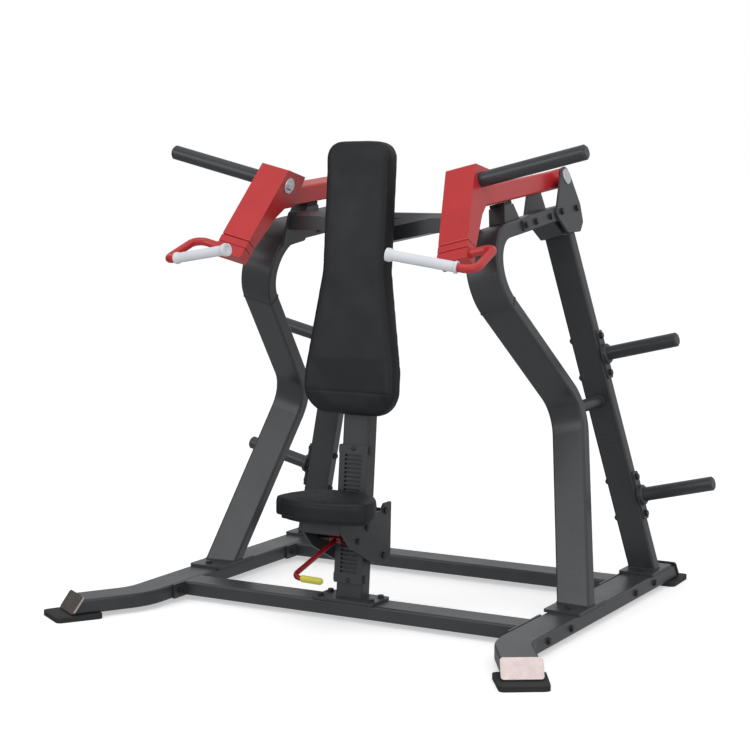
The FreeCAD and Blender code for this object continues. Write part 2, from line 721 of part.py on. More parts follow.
def arm_slab(start, end, inset):
    """Slab across the arm's lower end, between two distances below the box."""
    slope = math.radians(ARM_TIP_SLOPE)
    down = V(0, -math.sin(slope), -math.cos(slope))
    across = V(0, math.cos(slope), -math.sin(slope))
    front = V(ARM_LOW + inset, *ARM_TIP)
    near, far = across * inset, across * (ARM_TIP_WIDTH - inset)
    corners = [front + down * start + near, front + down * end + near,
               front + down * end + far, front + down * start + far]
    return plate(corners, 2, V(ARM_HIGH - ARM_LOW - 2 * inset, 0, 0))


def make_arm_end():
    end = arm_slab(3, 27, 0).multiFuse([arm_slab(30, 68, 0), arm_slab(0.5, 66, 5)])
    add_pair("arm_end_block", lean(end))


def make_arm_horn():
    y, v = ARM_HORN_AT
    outside = V(1, 0, 0)
    root = V(ARM_HIGH, y, v)
    horn = turned([(0, HORN_RADIUS), (ARM_HORN_LENGTH - 6, HORN_RADIUS),
                   (ARM_HORN_LENGTH, HORN_RADIUS - 6)], root, outside)
    tap = rod(root, root + outside * 60, HORN_BOLT_RADIUS)
    add_pair("weight_horn", lean(horn.cut(tap)))
    inner = V(ARM_LOW, y, v)
    washer = turned(HORN_WASHER, inner, outside * -1)
    head = hexagon(inner - outside * HORN_WASHER[-1][0], outside * -1, 14, 9)
    shank = rod(inner, root + outside * 55, HORN_BOLT_RADIUS)
    add_pair("horn_fixing", lean(washer.multiFuse([head, shank])))


def handle_points():
    along = (GRIP_OUTER - GRIP_INNER).normalize()
    corner = GRIP_OUTER + along * HANDLE_PAST_GRIP
    tip = GRIP_INNER + along * HANDLE_SHORT_OF_GRIP
    return [V(ARM_HIGH, *HANDLE_ROOT), V(HANDLE_SIDE, *HANDLE_ROOT), corner, tip]


def make_handle():
    add_pair("handle", lean(round_bar(handle_points(), HANDLE_BEND, HANDLE_RADIUS)))


def make_grip():
    along = (GRIP_INNER - GRIP_OUTER).normalize()
    length = (GRIP_INNER - GRIP_OUTER).Length
    profile = [(0, GRIP_RADIUS + 3), (8, GRIP_RADIUS + 3), (11, GRIP_RADIUS), (length - 26, GRIP_RADIUS),
               (length - 10, GRIP_RADIUS + 5), (length, GRIP_RADIUS + 4)]
    grip = turned(profile, GRIP_OUTER, along)
    bore = rod(GRIP_OUTER - along, GRIP_INNER - along * GRIP_END, HANDLE_RADIUS)
    depth, radius = GRIP_DISH
    dish = rod(GRIP_INNER - along * depth, GRIP_INNER + along, radius)
    add_pair("grip", lean(grip.cut(bore).cut(dish)))


def make_arms():
    make_arm_box()
    make_arm_beam()
    make_arm_end()
    make_arm_horn()
    make_handle()
    make_grip()


# ---- Seat post and back pad -------------------------------------------------
def make_post():
    post = hollow_bar([V(0, POST_DEPTH / 2, -20), V(0, POST_DEPTH / 2, POST_TOP)], 0, V(1, 0, 0),
                      POST_WIDTH, POST_DEPTH)
    cap = box(-POST_WIDTH / 2 + 4, POST_WIDTH / 2 - 4, 4, POST_DEPTH - 4, POST_TOP, POST_TOP + 4)
    standing = above_base(recline(post.fuse(cap)))
    half = POST_FOOT_HALF
    front, back = POST_FOOT_Y_RANGE
    corners = [V(-half, front, RAIL_TOP), V(half, front, RAIL_TOP), V(half, back, RAIL_TOP),
               V(-half, back, RAIL_TOP)]
    foot = plate(corners, 6, V(0, 0, BASE_PLATE))
    foot = foot.cut(rod(V(0, -360, RAIL_TOP - 1), V(0, -360, BASE_TOP + 1), 10))
    add("seat_post", standing.fuse(foot))


def make_rack():
    """Slotted channel folded round the front of the post, with fixing lugs on its sides."""
    inside = POST_WIDTH / 2 + RACK_GAP
    outside = inside + RACK_PLATE
    cover = box(-outside, outside, RACK_FRONT, RACK_FRONT + RACK_DEPTH, RACK_LOW, RACK_HIGH)
    cover = cover.cut(box(-inside, inside, -RACK_GAP, RACK_DEPTH, RACK_LOW - 1, RACK_HIGH + 1))
    slots = []
    for i in range(SLOT_COUNT):
        low = FIRST_SLOT + i * SLOT_PITCH
        slots.append(box(-SLOT_HALF_WIDTH, SLOT_HALF_WIDTH, RACK_FRONT - 1, 0, low, low + SLOT_HEIGHT))
    cover = cover.cut(Part.makeCompound(slots))
    thick, deep, tall = LUG
    for height in (RACK_LOW + LUG_INSET[0], RACK_HIGH - LUG_INSET[1]):
        for side in (-1, 1):
            low, high = sorted((side * outside, side * (outside + thick)))
            cover = cover.fuse(box(low, high, 2, 2 + deep, height, height + tall))
    screws = []
    for height in (RACK_LOW + SCREW_INSET, RACK_HIGH - SCREW_INSET):
        seat = V(0, RACK_FRONT, height)
        head = turned(SCREW_PROFILE, seat, V(0, -1, 0))
        shank = rod(seat, V(0, -CONTACT_GAP, height), SCREW_SHANK)
        cover = cover.cut(rod(V(0, RACK_FRONT - 1, height), V(0, 0, height), SCREW_SHANK + RUNNING_GAP))
        screws.append(recline(head.fuse(shank)))
    add("height_rack", recline(cover))
    parts["rack_screws"] = Part.makeCompound(screws)


def make_back_pad():
    """Plain closed solid of the tapered back pad, and the board that carries it."""
    slope = math.cos(math.radians(RECLINE))
    top = BACK_PAD_TOP / slope
    low = BACK_PAD_LOW / slope
    flare_end, flare_start = [low + rise for rise in BACK_PAD_FLARE]
    narrow, wide = BACK_PAD_HALF_TOP, BACK_PAD_HALF_LOW
    outline = [(-narrow, top), (narrow, top), (narrow, flare_start), (wide, flare_end), (wide, low),
               (-wide, low), (-wide, flare_end), (-narrow, flare_start)]
    corners = [BACK_PAD_LOW_CORNER if h == low else BACK_PAD_CORNER for _, h in outline]
    front = -BOARD_THICKNESS - BACK_PAD_THICKNESS
    points = [V(x, front, h) for x, h in outline]
    pad = plate(points, corners, V(0, BACK_PAD_THICKNESS, 0))
    add("back_pad", recline(pad))
    shrink = (top - low - 2 * BOARD_MARGIN) / (top - low)
    board_points = []
    for x, h in outline:
        board_points.append(V(x * BOARD_SHARE, -BOARD_THICKNESS, low + BOARD_MARGIN + (h - low) * shrink))
    board_corners = [radius - 10 for radius in corners]
    board = plate(board_points, board_corners, V(0, BOARD_THICKNESS - RACK_GAP, 0))
    add("back_board", recline(board))


# ---- Seat carriage ----------------------------------------------------------
def seat_outline(shrink, height):
    """D-shaped seat outline with a rounded back and a gently bowed front."""
    half = SEAT_HALF - shrink
    back, front = SEAT_BACK - shrink, SEAT_FRONT + shrink
    nose = V(0, front - SEAT_BOW, height)
    corner = [V(half - inward, front + behind, height) for inward, behind in SEAT_CORNER]
    hip = V(half * SEAT_HIP[0], back - SEAT_HIP[1], height)
    rear = V(half * SEAT_REAR_SHARE, back, height)

    def left(point):
        return V(-point.x, point.y, point.z)

    edges = [Part.Arc(left(corner[0]), nose, corner[0]).toShape(),
             Part.Arc(*corner).toShape(),
             Part.Arc(corner[2], hip, rear).toShape(),
             Part.makeLine(rear, left(rear)),
             Part.Arc(left(rear), left(hip), left(corner[2])).toShape(),
             Part.Arc(left(corner[2]), left(corner[1]), left(corner[0])).toShape()]
    return Part.Face(Part.Wire(edges))


def make_seat():
    pad = seat_outline(0, SEAT_PAD_LOW).extrude(V(0, 0, SEAT_TOP - SEAT_PAD_LOW))
    board = seat_outline(SEAT_BOARD_INSET, SEAT_BOARD_LOW).extrude(V(0, 0, SEAT_PAD_LOW - SEAT_BOARD_LOW))
    add("seat_pad", pad)
    add("seat_board", board)


def cross_axle(y, z, radius, head_radius, head_height):
    """Axle through both carriage plates, with a bolt head on each side."""
    ends = [V(side * CARRIAGE_PLATE_OUT, y, z) for side in (-1, 1)]
    axle = rod(ends[0], ends[1], radius)
    heads = [hexagon(ends[0], V(-1, 0, 0), head_radius, head_height),
             hexagon(ends[1], V(1, 0, 0), head_radius, head_height)]
    return axle.multiFuse(heads)


def axle_hole(y, z, radius):
    reach = CARRIAGE_PLATE_OUT + 20
    return rod(V(-reach, y, z), V(reach, y, z), radius)


def make_carriage():
    """Two side plates joined under the seat and by the roller axles behind the post."""
    pieces = []
    for low in (CARRIAGE_PLATE_IN, -CARRIAGE_PLATE_OUT):
        points = side_outline(CARRIAGE_SIDE, low)
        pieces.append(plate(points, 5, V(CARRIAGE_PLATE_OUT - CARRIAGE_PLATE_IN, 0, 0)))
    front, back = CARRIAGE_TOP_Y
    pieces.append(box(-CARRIAGE_PLATE_IN, CARRIAGE_PLATE_IN, front, back, CARRIAGE_TOP_LOW, SEAT_BOARD_LOW))
    pieces.append(box(-CARRIAGE_PLATE_IN, CARRIAGE_PLATE_IN, front, front + CARRIAGE_APRON,
                      CARRIAGE_APRON_LOW, CARRIAGE_TOP_LOW))
    carriage = pieces[0].multiFuse(pieces[1:])
    axles = []
    for y, h in ROLLER_PLACES.values():
        axles.append(recline(cross_axle(y, h, AXLE_RADIUS, 12, HEAD_HEIGHT)))
        carriage = carriage.cut(recline(axle_hole(y, h, AXLE_RADIUS)))
    y, z = LEVER_PIVOT
    axles.append(cross_axle(y, z, LEVER_AXLE_RADIUS, 10, 6))
    carriage = carriage.cut(axle_hole(y, z, LEVER_AXLE_RADIUS))
    add("seat_carriage", carriage)
    parts["carriage_axles"] = Part.makeCompound(axles)


def make_rollers():
    for name, (y, h) in ROLLER_PLACES.items():
        base = V(-ROLLER_HALF, y, h)
        width = 2 * ROLLER_HALF
        wheel = turned([(0, ROLLER_RADIUS - 2), (2, ROLLER_RADIUS), (width - 2, ROLLER_RADIUS),
                        (width, ROLLER_RADIUS - 2)], base, V(1, 0, 0))
        bore = rod(V(-ROLLER_HALF - 1, y, h), V(ROLLER_HALF + 1, y, h), AXLE_RADIUS + RUNNING_GAP)
        add(name, recline(wheel.cut(bore)))


def make_lever():
    """Seat release: bent rod with a sleeve in front and a pawl behind its pivot."""
    y, z = LEVER_PIVOT
    pivot = V(0, y, z)
    start = pivot + (LEVER_CORNER - pivot).normalize() * 8
    half = LEVER_HUB_HALF
    hub = rod(V(-half, y, z), V(half, y, z), LEVER_HUB_RADIUS)
    bore = rod(V(-half - 1, y, z), V(half + 1, y, z), LEVER_AXLE_RADIUS + RUNNING_GAP)
    arm = round_bar([start, LEVER_CORNER, LEVER_TIP], LEVER_BEND, LEVER_RADIUS)
    along_tip = (LEVER_TIP - LEVER_CORNER).normalize()
    sleeve = turned(SLEEVE_PROFILE, LEVER_CORNER + along_tip * SLEEVE_START, along_tip)
    add("lever_sleeve", sleeve.cut(arm))
    pawl_corners = [V(-PAWL_HALF_WIDTH, y + back, z + up) for back, up in PAWL]
    pawl = plate(pawl_corners, 1, V(2 * PAWL_HALF_WIDTH, 0, 0))
    add("seat_lever", arm.multiFuse([hub, pawl]).cut(bore))


def make_seat_unit():
    make_seat()
    make_carriage()
    make_rollers()
    make_lever()


# ---- Build ------------------------------------------------------------------
make_floor_frame()
make_side_frames()
make_arms()
make_post()
make_rack()
make_back_pad()
make_seat_unit()
drill_bolt_holes()

os.makedirs("parts", exist_ok=True)
for node, shape in parts.items():
    placed = shape.copy()
    placed.translate(FOOTPRINT_SHIFT)
    placed.exportStep("parts/" + node + ".step")
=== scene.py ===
import json
import math

import bmesh
import bpy
import numpy
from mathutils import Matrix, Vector
from mathutils.bvhtree import BVHTree
from mathutils.kdtree import KDTree


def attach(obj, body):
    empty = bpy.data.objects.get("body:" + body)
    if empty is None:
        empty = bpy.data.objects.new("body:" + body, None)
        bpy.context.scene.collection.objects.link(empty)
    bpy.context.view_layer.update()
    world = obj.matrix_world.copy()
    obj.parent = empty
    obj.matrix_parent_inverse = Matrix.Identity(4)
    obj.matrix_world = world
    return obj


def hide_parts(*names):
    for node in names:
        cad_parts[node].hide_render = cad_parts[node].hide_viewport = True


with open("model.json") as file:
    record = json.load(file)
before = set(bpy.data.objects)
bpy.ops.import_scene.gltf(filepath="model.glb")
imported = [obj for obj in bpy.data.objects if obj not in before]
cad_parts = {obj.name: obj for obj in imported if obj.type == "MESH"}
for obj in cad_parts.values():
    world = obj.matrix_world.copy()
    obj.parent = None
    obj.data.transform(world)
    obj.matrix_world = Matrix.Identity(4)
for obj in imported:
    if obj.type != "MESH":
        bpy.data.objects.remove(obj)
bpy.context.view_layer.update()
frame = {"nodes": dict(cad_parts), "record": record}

# ---- Sizes the soft parts share with the CAD, in metres ----------------------
RECLINE = math.radians(5.3)
SIDE_LEAN = math.radians(13.7)
FOOTPRINT_SHIFT = 0.07485
POST_FOOT_Y = FOOTPRINT_SHIFT - 0.3952
BACK_FACE = -0.012
BACK_THICKNESS = 0.060
BACK_TOP = 1.6039
BACK_LOW = 0.6930
BACK_FLARE_LOW = 0.8430
BACK_FLARE_HIGH = 1.1730
BACK_HALF_TOP = 0.122
BACK_HALF_LOW = 0.172
BACK_CORNER = 0.055
BACK_LOW_CORNER = 0.085
BACK_CHAMFER_HEIGHT = 0.078
BACK_CHAMFER_LEFT = 0.62
SEAT_LOW = 0.378
SEAT_THICKNESS = 0.062
SEAT_HALF = 0.172
SEAT_BACK = FOOTPRINT_SHIFT - 0.380
SEAT_FRONT = FOOTPRINT_SHIFT - 0.612
SEAT_BOW = 0.014
SEAT_REAR_SHARE = 0.35

# Front corner of the seat, as (inward from the side, behind the front edge).
SEAT_CORNER = ((0.030, 0.022), (0.006, 0.034), (0.0, 0.062))

# Rear curve of the seat, as (share of the half width, ahead of the back edge).
SEAT_HIP = (0.72, 0.042)

# ---- Upholstery --------------------------------------------------------------
START_INSET = 0.001
HELD_DEPTH = 0.003
BACK_VOXEL = 0.0056
SEAT_VOXEL = 0.0046
PRESSURE = 2.2
COVER_MASS = 0.35
COVER_STIFFNESS = 22
COVER_SHEAR = 8
COVER_BENDING = 4.0
LAST_FRAME = 16
PAD_CAP = 0.0038
SMOOTHING_ROUNDS = 9
SEAM_LEVEL = 0.84
SEAM_RADIUS = 0.0009
SEAM_GROOVE = 0.0014
SEAM_REACH = 0.0042
CROSS_SEAM_HALF = 0.166

# Edge of a pad, as (inset, share of the thickness) from the board to the front face.
PAD_PROFILE = [(0.004, 0.0), (0.0005, 0.05), (0.0, 0.15), (0.0, 0.45), (0.0, 0.75), (0.0008, 0.87),
               (0.0026, 0.935), (0.0056, 0.975), (0.0100, 0.993), (0.0170, 1.0)]

# ---- Welds -------------------------------------------------------------------
BEAD_RADIUS = 0.0026
BEAD_RIPPLE = 0.0045
BEAD_SIDES = 8
BEAD_SEARCH = 0.045
WELD_HEIGHT = 0.0778
LEG_FOOT_X = 0.702
FRONT_LEG_FOOT_Y = FOOTPRINT_SHIFT - 0.108
REAR_LEG_FOOT_Y = FOOTPRINT_SHIFT + 0.519
POST_FOOT_WELD_Y = FOOTPRINT_SHIFT - 0.358

# Welds on the leaning side frame, in its own millimetres: across, Y, up.
LEG_JOINT = (700, -201.5, 925.5)
LINK_REAR = (700, 437, 532)
UPPER_COLLAR = (758.6, 450.5, 693)
LOWER_COLLAR = (758.6, 503.3, 172)
ARM_BEAM_FRONT = (700, -177.5, 1287.2)
HANDLE_ROOT = (759.2, -436, 1100)

# ---- Colours, as seen on the screen ------------------------------------------
FRAME_GREY = (0.240, 0.248, 0.262)
ARM_RED = (0.820, 0.205, 0.215)
LEVER_RED = (0.560, 0.085, 0.120)
SLEEVE_YELLOW = (0.850, 0.820, 0.300)
GRIP_WHITE = (0.950, 0.962, 0.990)
PAD_BLACK = (0.104, 0.112, 0.130)
BOARD_BLACK = (0.120, 0.120, 0.125)
PLATE_SILVER = (0.880, 0.815, 0.810)
RUBBER_GREY = (0.180, 0.178, 0.184)
BRIGHT_METAL = (0.900, 0.905, 0.920)
BOLT_BLACK = (0.130, 0.130, 0.138)
ROLLER_BLACK = (0.150, 0.150, 0.155)
FLOOR_WHITE = (0.960, 0.960, 0.960)

# ---- Studio ------------------------------------------------------------------
FLOOR_HALF = 60.0
FLOOR_GLOW = 0.46
WORLD_ABOVE = 0.60
WORLD_BELOW = 0.46
HORIZON = (-0.15, 0.25)
SCREEN_LEFT = 0.12
SCREEN_EDGE = (-0.95, -0.55)
SUN_POWER = 0.32
SUN_SPREAD = 40
SUN_DIRECTION = (-0.15, 0.35, -1.0)

# Name, place, point it faces, size and power of each lamp.
SOFTBOXES = (("top_softbox", (0.4, -0.6, 4.6), (0, 0, 0.6), (4.5, 4.5), 14),
             ("front_softbox", (-2.6, -5.0, 2.8), (0, 0, 0.8), (3.0, 3.0), 52),
             ("right_softbox", (5.2, -2.6, 2.2), (0.3, 0, 0.8), (1.2, 4.2), 26))

CAMERA_PLACE = (3.099, FOOTPRINT_SHIFT - 5.710, 1.561)
CAMERA_TILT = 83.235
CAMERA_TURN = 29.37
CAMERA_LENS = 89.66
SENSOR_WIDTH = 36.0


def linear(colour, gain=1.0):
    """Screen colour to the linear RGBA that nodes take."""
    out = []
    for c in colour:
        value = c / 12.92 if c <= 0.04045 else ((c + 0.055) / 1.055) ** 2.4
        out.append(min(1.0, value * gain))
    return (*out, 1.0)


# ---- Material building blocks --------------------------------------------------
def node(tree, kind, inputs=None, **settings):
    """One shader node; an input is either a value or another node's output."""
    made = tree.nodes.new(kind)
    for name, value in settings.items():
        setattr(made, name, value)
    for name, value in (inputs or {}).items():
        if isinstance(value, bpy.types.NodeSocket):
            tree.links.new(value, made.inputs[name])
        else:
            made.inputs[name].default_value = value
    return made


def new_material(name):
    material = bpy.data.materials.new(name)
    material.use_nodes = True
    tree = material.node_tree
    return material, tree, tree.nodes["Principled BSDF"]


def object_space(tree, stretch=(1, 1, 1)):
    place = node(tree, "ShaderNodeTexCoord")
    scaled = node(tree, "ShaderNodeMapping", {"Vector": place.outputs["Object"], "Scale": stretch})
    return scaled.outputs["Vector"]


def noise(tree, vector, scale, detail=4.0, roughness=0.55):
    inputs = {"Vector": vector, "Scale": scale, "Detail": detail, "Roughness": roughness}
    return node(tree, "ShaderNodeTexNoise", inputs).outputs["Fac"]


def spread(tree, value, low, high, to_low, to_high):
    inputs = {"Value": value, "From Min": low, "From Max": high, "To Min": to_low, "To Max": to_high}
    return node(tree, "ShaderNodeMapRange", inputs).outputs["Result"]


def multiply(tree, first, second):
    return node(tree, "ShaderNodeMath", {0: first, 1: second}, operation="MULTIPLY").outputs["Value"]


def blend_colour(tree, factor, first, second):
    mix = node(tree, "ShaderNodeMix", {}, data_type="RGBA")
    for socket, value in (("Factor_Float", factor), ("A_Color", first), ("B_Color", second)):
        target = next(s for s in mix.inputs if s.identifier == socket)
        if isinstance(value, bpy.types.NodeSocket):
            tree.links.new(value, target)
        else:
            target.default_value = value
    return next(s for s in mix.outputs if s.identifier == "Result_Color")


def soft_edges(tree, radius):
    """Normal with its edges rounded, and a mask that is 1 along those edges."""
    rounded = node(tree, "ShaderNodeBevel", {"Radius": radius}, samples=4).outputs["Normal"]
    flat = node(tree, "ShaderNodeNewGeometry").outputs["Normal"]
    dot = node(tree, "ShaderNodeVectorMath", {0: rounded, 1: flat}, operation="DOT_PRODUCT")
    return rounded, spread(tree, dot.outputs["Value"], 0.86, 0.995, 1.0, 0.0)


def bumped(tree, height, depth, normal=None):
    inputs = {"Height": height, "Distance": depth, "Strength": 1.0}
    if normal is not None:
        inputs["Normal"] = normal
    return node(tree, "ShaderNodeBump", inputs).outputs["Normal"]


def painted_metal(name, colour, worn_and_highlight, rough, wear_and_highlight, mottle=0.10, grain=900.0, depth=0.00007, coat=0.15):
    """Powder coat or enamel: faint mottling, orange peel, and edges lighter, partly paint abraded away and
    partly a painted highlight along the rounded edges.
    """
    material, tree, shader = new_material(name)
    where = object_space(tree)
    broad = noise(tree, where, 7.0, 5.0)
    peel = noise(tree, where, grain, 2.0)
    scuff = noise(tree, where, 95.0, 6.0, 0.7)
    normal, edge = soft_edges(tree, 0.0022)
    tone = blend_colour(tree, spread(tree, broad, 0.3, 0.7, 0.0, 1.0),
                        linear(colour, 1.0 - mottle), linear(colour, 1.0 + mottle))
    # Edges blend towards a lighter colour in noisy patches: partly abraded paint, partly a painted
    # highlight along the rounded edges.
    rubbed_and_highlight = multiply(tree, edge, spread(tree, scuff, 0.40, 0.62, 0.15 * wear_and_highlight, wear_and_highlight))
    tree.links.new(blend_colour(tree, rubbed_and_highlight, tone, linear(worn_and_highlight)), shader.inputs["Base Color"])
    smear = node(tree, "ShaderNodeMath", {0: broad, 1: scuff}, operation="ADD").outputs["Value"]
    tree.links.new(spread(tree, smear, 0.7, 1.3, rough[0], rough[1]), shader.inputs["Roughness"])
    tree.links.new(bumped(tree, peel, depth, normal), shader.inputs["Normal"])
    shader.inputs["Coat Weight"].default_value = coat
    shader.inputs["Coat Roughness"].default_value = 0.25
    return material


def bare_metal(name, colour, rough, stretch, grain, depth):
    """Brushed or polished steel with fine lines along one direction."""
    material, tree, shader = new_material(name)
    lines = noise(tree, object_space(tree, stretch), grain, 3.0, 0.6)
    stain = noise(tree, object_space(tree), 28.0, 5.0, 0.65)
    normal, edge = soft_edges(tree, 0.0012)
    tone = blend_colour(tree, spread(tree, stain, 0.3, 0.7, 0.0, 1.0),
                        linear(colour, 0.86), linear(colour, 1.06))
    # Edges blend halfway to near white: a painted highlight along the rounded edges.
    tree.links.new(blend_colour(tree, multiply(tree, edge, 0.5), tone, linear((0.97, 0.97, 0.98))),
                   shader.inputs["Base Color"])
    tree.links.new(spread(tree, lines, 0.3, 0.7, rough[0], rough[1]), shader.inputs["Roughness"])
    tree.links.new(bumped(tree, lines, depth, normal), shader.inputs["Normal"])
    shader.inputs["Metallic"].default_value = 1.0
    return material


def moulded(name, colour, rough, grain, depth, scuffed_and_highlight, mottle=0.06):
    """Plastic or rubber with a fine moulded texture; its edges are lighter, partly abrasion and partly a
    painted highlight along the rounded edges.
    """
    material, tree, shader = new_material(name)
    where = object_space(tree)
    broad = noise(tree, where, 14.0, 4.0)
    fine = noise(tree, where, grain, 3.0, 0.6)
    normal, edge = soft_edges(tree, 0.0015)
    tone = blend_colour(tree, spread(tree, broad, 0.3, 0.7, 0.0, 1.0),
                        linear(colour, 1.0 - mottle), linear(colour, 1.0 + mottle))
    # Every edge blends part way to a lighter colour: partly abrasion, partly a painted highlight along the
    # rounded edges.
    tree.links.new(blend_colour(tree, multiply(tree, edge, 0.35), tone, linear(scuffed_and_highlight)),
                   shader.inputs["Base Color"])
    tree.links.new(spread(tree, broad, 0.3, 0.7, rough[0], rough[1]), shader.inputs["Roughness"])
    tree.links.new(bumped(tree, fine, depth, normal), shader.inputs["Normal"])
    return material


def vinyl(name, colour):
    """Upholstery vinyl: pebbled grain, soft creases and a roughness that varies in broad patches."""
    material, tree, shader = new_material(name)
    where = object_space(tree)
    pebbles = node(tree, "ShaderNodeTexVoronoi", {"Vector": where, "Scale": 620.0},
                   feature="SMOOTH_F1").outputs["Distance"]
    pores = noise(tree, where, 1500.0, 2.0)
    broad = noise(tree, where, 10.0, 5.0)
    grain = node(tree, "ShaderNodeMath", {0: pebbles, 1: pores}, operation="ADD").outputs["Value"]
    tone = blend_colour(tree, spread(tree, broad, 0.3, 0.7, 0.0, 1.0),
                        linear(colour, 0.88), linear(colour, 1.10))
    cracks = spread(tree, pebbles, 0.25, 0.6, 0.0, 0.55)
    tree.links.new(blend_colour(tree, cracks, tone, linear(colour, 0.62)), shader.inputs["Base Color"])
    tree.links.new(spread(tree, broad, 0.3, 0.7, 0.46, 0.60), shader.inputs["Roughness"])
    first = bumped(tree, broad, 0.0012)
    tree.links.new(bumped(tree, grain, 0.00012, first), shader.inputs["Normal"])
    shader.inputs["Specular IOR Level"].default_value = 0.45
    return material


def weld_metal(name, colour):
    """Painted weld bead, a little rougher than the tube."""
    return painted_metal(name, colour, (0.36, 0.37, 0.39), (0.42, 0.60), 0.5, 0.16, 500.0, 0.00016, 0.0)


# The lighter edge colours passed below (third argument of painted_metal, last of moulded) are partly
# abrasion and partly a painted highlight along rounded edges.
materials = {
    "frame_paint": painted_metal("frame_paint", FRAME_GREY, (0.30, 0.31, 0.325), (0.26, 0.38), 0.30,
                                 coat=0.0),
    "arm_paint": painted_metal("arm_paint", ARM_RED, (0.84, 0.32, 0.31), (0.26, 0.38), 0.35, 0.06),
    "lever_paint": painted_metal("lever_paint", LEVER_RED, (0.74, 0.30, 0.30), (0.24, 0.36), 0.35, 0.08),
    "sleeve": moulded("sleeve", SLEEVE_YELLOW, (0.34, 0.46), 420.0, 0.00008, (0.88, 0.86, 0.42)),
    "grip": moulded("grip", GRIP_WHITE, (0.40, 0.54), 900.0, 0.00012, (0.95, 0.95, 0.97), 0.03),
    "pad_cover": vinyl("pad_cover", PAD_BLACK),
    "board": moulded("board", BOARD_BLACK, (0.60, 0.78), 260.0, 0.00020, (0.22, 0.21, 0.20), 0.18),
    "end_plate": bare_metal("end_plate", PLATE_SILVER, (0.22, 0.34), (1, 1, 1), 1100.0, 0.00022),
    "foot_rubber": moulded("foot_rubber", RUBBER_GREY, (0.66, 0.86), 700.0, 0.00020,
                           (0.32, 0.32, 0.32), 0.12),
    "bright_metal": bare_metal("bright_metal", BRIGHT_METAL, (0.28, 0.42), (1, 1, 0.1), 1200.0, 0.00003),
    "dark_bolt": painted_metal("dark_bolt", BOLT_BLACK, (0.36, 0.36, 0.37), (0.30, 0.50), 0.6, 0.15),
    "roller": moulded("roller", ROLLER_BLACK, (0.26, 0.38), 500.0, 0.00006, (0.30, 0.30, 0.31), 0.10),
}
frame_weld = weld_metal("frame_weld", FRAME_GREY)
arm_weld = weld_metal("arm_weld", ARM_RED)


def dress_cad_nodes():
    """Every CAD node takes the material of its slot in the record."""
    for subpart in frame["record"]["subparts"]:
        mesh = frame["nodes"][subpart["node"]].data
        mesh.materials.clear()
        mesh.materials.append(materials[subpart["material_slot"]])


# ---- Mesh helpers --------------------------------------------------------------
def mesh_object(name, vertices, faces, material, smooth=True):
    mesh = bpy.data.meshes.new(name)
    mesh.from_pydata([tuple(v) for v in vertices], [], faces)
    mesh.update()
    made = bpy.data.objects.new(name, mesh)
    bpy.context.scene.collection.objects.link(made)
    mesh.materials.append(material)
    for polygon in mesh.polygons:
        polygon.use_smooth = smooth
    return made


def make_active(target):
    bpy.ops.object.select_all(action="DESELECT")
    target.select_set(True)
    bpy.context.view_layer.objects.active = target


def rounded_outline(corners, radii, step=0.010):
    """Evenly dense closed outline with every corner rounded by its own radius."""
    count = len(corners)
    points = []
    for i in range(count):
        before = Vector(corners[i - 1])
        corner = Vector(corners[i])
        radius = radii[i]
        after = Vector(corners[(i + 1) % count])
        back = (before - corner).normalized()
        ahead = (after - corner).normalized()
        half = back.angle(ahead) / 2
        reach = radius / math.tan(half)
        centre = corner + (back + ahead).normalized() * (radius / math.sin(half))
        start = corner + back * reach - centre
        turn = math.pi - 2 * half
        turn *= 1 if back.x * ahead.y - back.y * ahead.x < 0 else -1
        steps = max(3, int(radius * abs(turn) / step))
        for k in range(steps + 1):
            angle = turn * k / steps
            points.append(centre + Vector((start.x * math.cos(angle) - start.y * math.sin(angle),
                                           start.x * math.sin(angle) + start.y * math.cos(angle))))
    return even_points(points, step)


def even_points(points, step):
    """Resample a closed line at equal steps."""
    lengths = [(points[(i + 1) % len(points)] - points[i]).length for i in range(len(points))]
    count = max(12, round(sum(lengths) / step))
    spacing = sum(lengths) / count
    out = []
    along, i = 0.0, 0
    for k in range(count):
        target = k * spacing
        while along + lengths[i] < target - 1e-12:
            along += lengths[i]
            i += 1
        share = (target - along) / lengths[i] if lengths[i] else 0.0
        out.append(points[i].lerp(points[(i + 1) % len(points)], share))
    return out


def inset_outline(points, amount):
    """Move a counterclockwise or clockwise outline inward by the same amount all round."""
    count = len(points)
    area = sum(points[i - 1].x * points[i].y - points[i].x * points[i - 1].y for i in range(count))
    side = 1 if area > 0 else -1
    out = []
    for i in range(count):
        tangent = (points[(i + 1) % count] - points[i - 1]).normalized()
        out.append(points[i] + Vector((-tangent.y, tangent.x)) * side * amount)
    return out


def tube_along(points, radii, sides, closed):
    """Vertices and faces of a tube through the points."""
    vertices, faces = [], []
    count = len(points)
    normal = None
    for i in range(count):
        ahead = points[(i + 1) % count] if closed or i < count - 1 else points[i]
        behind = points[i - 1] if closed or i > 0 else points[i]
        tangent = (ahead - behind).normalized()
        if normal is None:
            normal = tangent.orthogonal().normalized()
        normal = (normal - tangent * normal.dot(tangent)).normalized()
        other = tangent.cross(normal)
        for k in range(sides):
            angle = 2 * math.pi * k / sides
            vertices.append(points[i] + (normal * math.cos(angle) + other * math.sin(angle)) * radii[i])
    rows = count if closed else count - 1
    shift = 0
    if closed:
        shift = closing_shift(vertices, sides)
    for i in range(rows):
        last = closed and i == count - 1
        for k in range(sides):
            a = i * sides + k
            b = i * sides + (k + 1) % sides
            offset = shift if last else 0
            base = ((i + 1) % count) * sides
            faces.append((a, b, base + (k + 1 + offset) % sides, base + (k + offset) % sides))
    if not closed:
        faces.append(tuple(reversed(range(sides))))
        faces.append(tuple((count - 1) * sides + k for k in range(sides)))
    return vertices, faces


